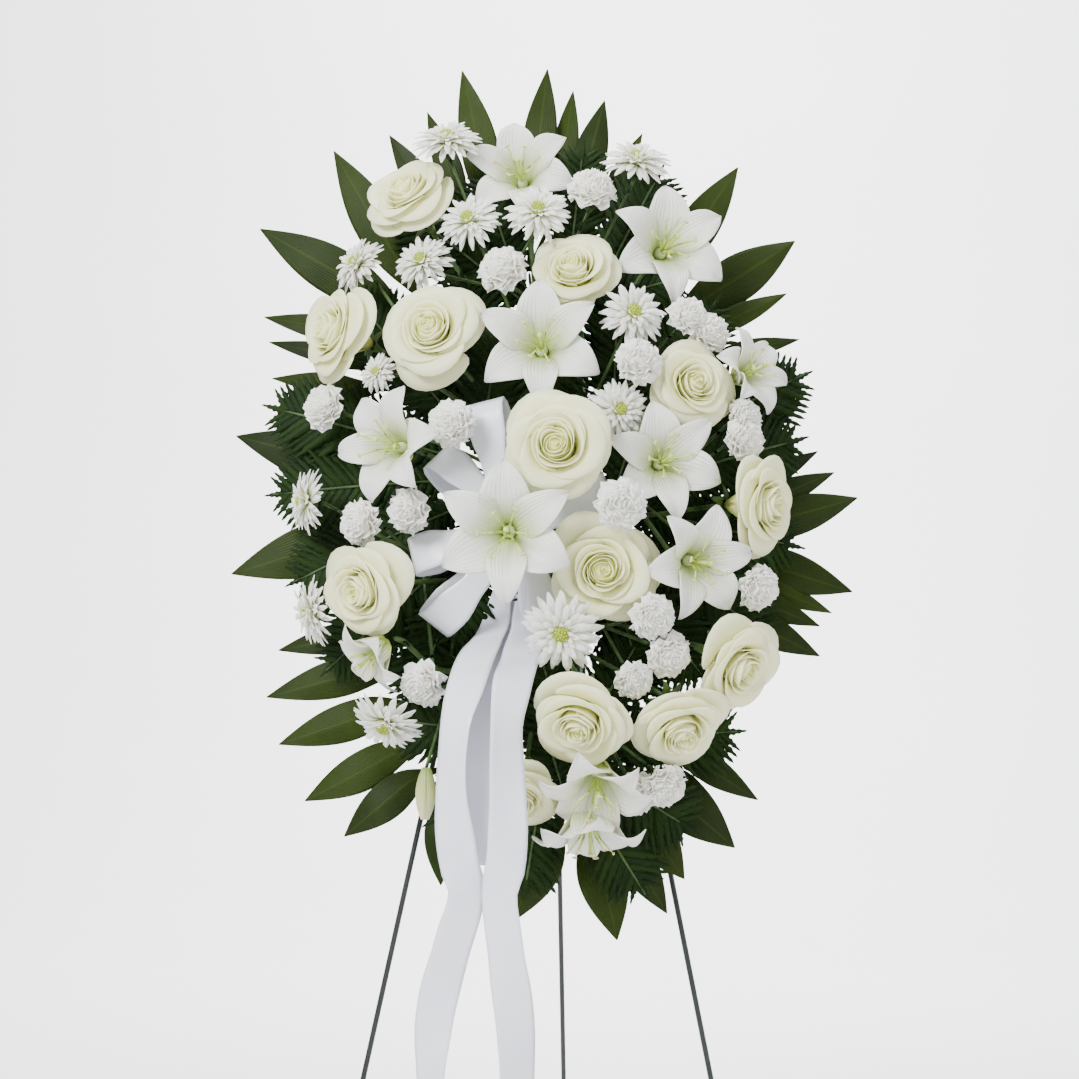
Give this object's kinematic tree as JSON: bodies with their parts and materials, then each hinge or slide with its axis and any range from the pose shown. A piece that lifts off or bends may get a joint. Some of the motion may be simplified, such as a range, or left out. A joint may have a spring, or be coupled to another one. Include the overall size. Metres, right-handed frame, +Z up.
{
  "type": "standing funeral spray",
  "caption": "Oval spray of white roses, lilies, carnations and chrysanthemums with palm, fern and a satin bow, on a folding three-legged easel.",
  "frame": {"origin": "on the floor, under the middle of the bounding box", "axes": "+Z up, the flowers face -Y, +X is to the viewer's right when seen from the front"},
  "size_m": [0.741, 0.8038, 1.7],
  "materials": {
    "rose_petals": "soft satin petal",
    "lily_petals": "waxy petal",
    "carnation_petals": "matt petal",
    "chrysanthemum_petals": "matt petal",
    "palm_leaf": "waxy leaf",
    "fern_leaf": "matt leaf",
    "ribbon": "satin",
    "foam": "wet open foam",
    "tray": "moulded",
    "pick": "raw wood",
    "steel": "dark green enamel"
  },
  "bodies": {
    "spray": {"bow_pick": "pick", "carnation_stem_1": "carnation_petals", "carnation_stem_2": "carnation_petals", "carnation_stem_3": "carnation_petals", "carnation_stem_4": "carnation_petals", "carnation_stem_5": "carnation_petals", "carnation_stem_6": "carnation_petals", "carnation_stem_7": "carnation_petals", "chrysanthemum_stem_1": "chrysanthemum_petals", "chrysanthemum_stem_2": "chrysanthemum_petals", "chrysanthemum_stem_3": "chrysanthemum_petals", "chrysanthemum_stem_4": "chrysanthemum_petals", "chrysanthemum_stem_5": "chrysanthemum_petals", "chrysanthemum_stem_6": "chrysanthemum_petals", "chrysanthemum_stem_7": "chrysanthemum_petals", "fern_bottom": "fern_leaf", "fern_left": "fern_leaf", "fern_right": "fern_leaf", "fern_top": "fern_leaf", "floral_foam": "foam", "foam_tray": "tray", "front_leg_left": "steel", "front_leg_right": "steel", "hinge_pin": "steel", "lily_stem_1": "lily_petals", "lily_stem_2": "lily_petals", "lily_stem_3": "lily_petals", "lily_stem_4": "lily_petals", "lily_stem_5": "lily_petals", "lily_stem_6": "lily_petals", "lily_stem_7": "lily_petals", "lily_stem_8": "lily_petals", "lower_cross_bar": "steel", "palm_bottom": "palm_leaf", "palm_left": "palm_leaf", "palm_lower_left": "palm_leaf", "palm_right": "palm_leaf", "palm_top": "palm_leaf", "palm_upper_left": "palm_leaf", "palm_upper_right": "palm_leaf", "ribbon_bow": "ribbon", "ribbon_tail_left": "ribbon", "ribbon_tail_middle": "ribbon", "ribbon_tail_right": "ribbon", "rose_1": "rose_petals", "rose_10": "rose_petals", "rose_11": "rose_petals", "rose_12": "rose_petals", "rose_13": "rose_petals", "rose_2": "rose_petals", "rose_3": "rose_petals", "rose_4": "rose_petals", "rose_5": "rose_petals", "rose_6": "rose_petals", "rose_7": "rose_petals", "rose_8": "rose_petals", "rose_9": "rose_petals", "top_bracket": "steel", "upper_cross_bar": "steel"},
    "rear_leg": {"rear_leg": "steel"}
  },
  "joints": [
    {"name": "rear_leg_hinge", "type": "hinge", "parent": "spray", "child": "rear_leg", "pos_m": [-0.0015, -0.0342, 1.459], "axis": [1, 0, 0], "range_deg": [-26, 0]}
  ]
}
